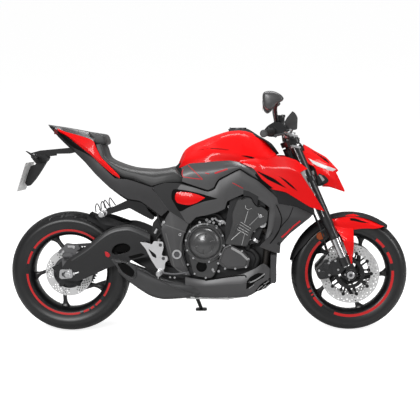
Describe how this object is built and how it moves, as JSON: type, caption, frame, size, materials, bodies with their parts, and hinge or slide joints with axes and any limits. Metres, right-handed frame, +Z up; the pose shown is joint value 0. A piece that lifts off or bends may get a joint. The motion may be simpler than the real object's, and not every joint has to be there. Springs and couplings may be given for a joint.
{
  "type": "naked sport motorcycle",
  "caption": "Naked sport motorcycle leaning on its side stand, with a faceted red and grey body, inverted fork, cast wheels, drilled discs and a short side silencer.",
  "frame": {"origin": "centre of the bounding box at ground level, as parked on the side stand", "axes": "+X forward, +Y to the left, +Z up; the machine leans 10 degrees to the left"},
  "size_m": [2.0749, 0.9208, 1.2858],
  "materials": {
    "red_paint": "gloss",
    "grey_paint": "satin",
    "black_paint": "satin",
    "black_plastic": "matte",
    "seat_cover": "matte",
    "cast_alloy": "satin",
    "dark_alloy": "satin",
    "steel": "brushed",
    "chrome": "polished",
    "tyre_rubber": "matte",
    "rubber": "matte",
    "lens": "gloss",
    "red_lens": "gloss",
    "plate": "satin"
  },
  "bodies": {
    "root": {"frame": "grey_paint", "subframe": "black_paint", "crankcase": "black_paint", "cylinders": "black_paint", "clutch_cover": "black_paint", "generator_cover": "black_paint", "left_covers": "black_paint", "radiator": "black_paint", "radiator_shrouds": "grey_paint", "belly_pan": "grey_paint", "exhaust_headers": "steel", "silencer": "black_paint", "fuel_tank": "red_paint", "tank_cover": "black_plastic", "wing_shrouds": "red_paint", "side_covers": "grey_paint", "seat_side_panels": "grey_paint", "intake_inserts": "red_paint", "rider_seat": "seat_cover", "pillion_seat": "seat_cover", "tail_fairing": "grey_paint", "tail_panels": "red_paint", "tail_lamp": "red_lens", "plate_hanger": "black_plastic", "number_plate": "plate", "swingarm": "grey_paint", "rear_axle": "steel", "chain": "steel", "shock_absorber": "black_paint", "rear_caliper": "dark_alloy", "rear_hugger": "black_plastic", "foot_hangers": "cast_alloy", "footpegs": "steel", "pillion_pegs": "black_paint"},
    "steering": {"yokes": "dark_alloy", "fork_uppers": "black_paint", "fork_lowers": "chrome", "front_axle": "steel", "front_calipers": "dark_alloy", "front_fender": "red_paint", "fender_guard": "black_plastic", "handlebar": "black_paint", "grips": "rubber", "controls": "black_plastic", "mirrors": "black_plastic", "instrument": "black_plastic", "headlight_unit": "lens", "headlight_mask": "red_paint", "brake_hoses": "rubber"},
    "front_wheel": {"front_tyre": "tyre_rubber", "front_rim": "black_paint", "front_discs": "steel"},
    "rear_wheel": {"rear_tyre": "tyre_rubber", "rear_rim": "black_paint", "rear_disc": "steel", "rear_sprocket": "steel"},
    "stand": {"side_stand": "black_paint"},
    "fuel_lid": {"fuel_cap": "cast_alloy"}
  },
  "joints": [
    {"name": "steering_turn", "type": "hinge", "parent": "root", "child": "steering", "pos_m": [0.45654, -0.05399, 0.86823], "axis": [-0.3907, 0.1598, 0.9065], "range_deg": [-28, 28]},
    {"name": "front_wheel_spin", "type": "hinge", "parent": "steering", "child": "front_wheel", "pos_m": [0.7375, -0.15471, 0.29704], "axis": [0, 0.9848, -0.1736], "continuous": true},
    {"name": "rear_wheel_spin", "type": "hinge", "parent": "root", "child": "rear_wheel", "pos_m": [-0.7225, -0.1521, 0.31181], "axis": [0, 0.9848, -0.1736], "continuous": true},
    {"name": "side_stand_fold", "type": "hinge", "parent": "root", "child": "stand", "pos_m": [-0.1225, -0.00849, 0.25095], "axis": [0.0702, 0.9227, 0.379], "range_deg": [0, 97.6]},
    {"name": "fuel_cap_lid", "type": "hinge", "parent": "root", "child": "fuel_lid", "pos_m": [0.1265, -0.02334, 1.04205], "axis": [0, -0.9848, 0.1736], "range_deg": [0, 95]}
  ]
}
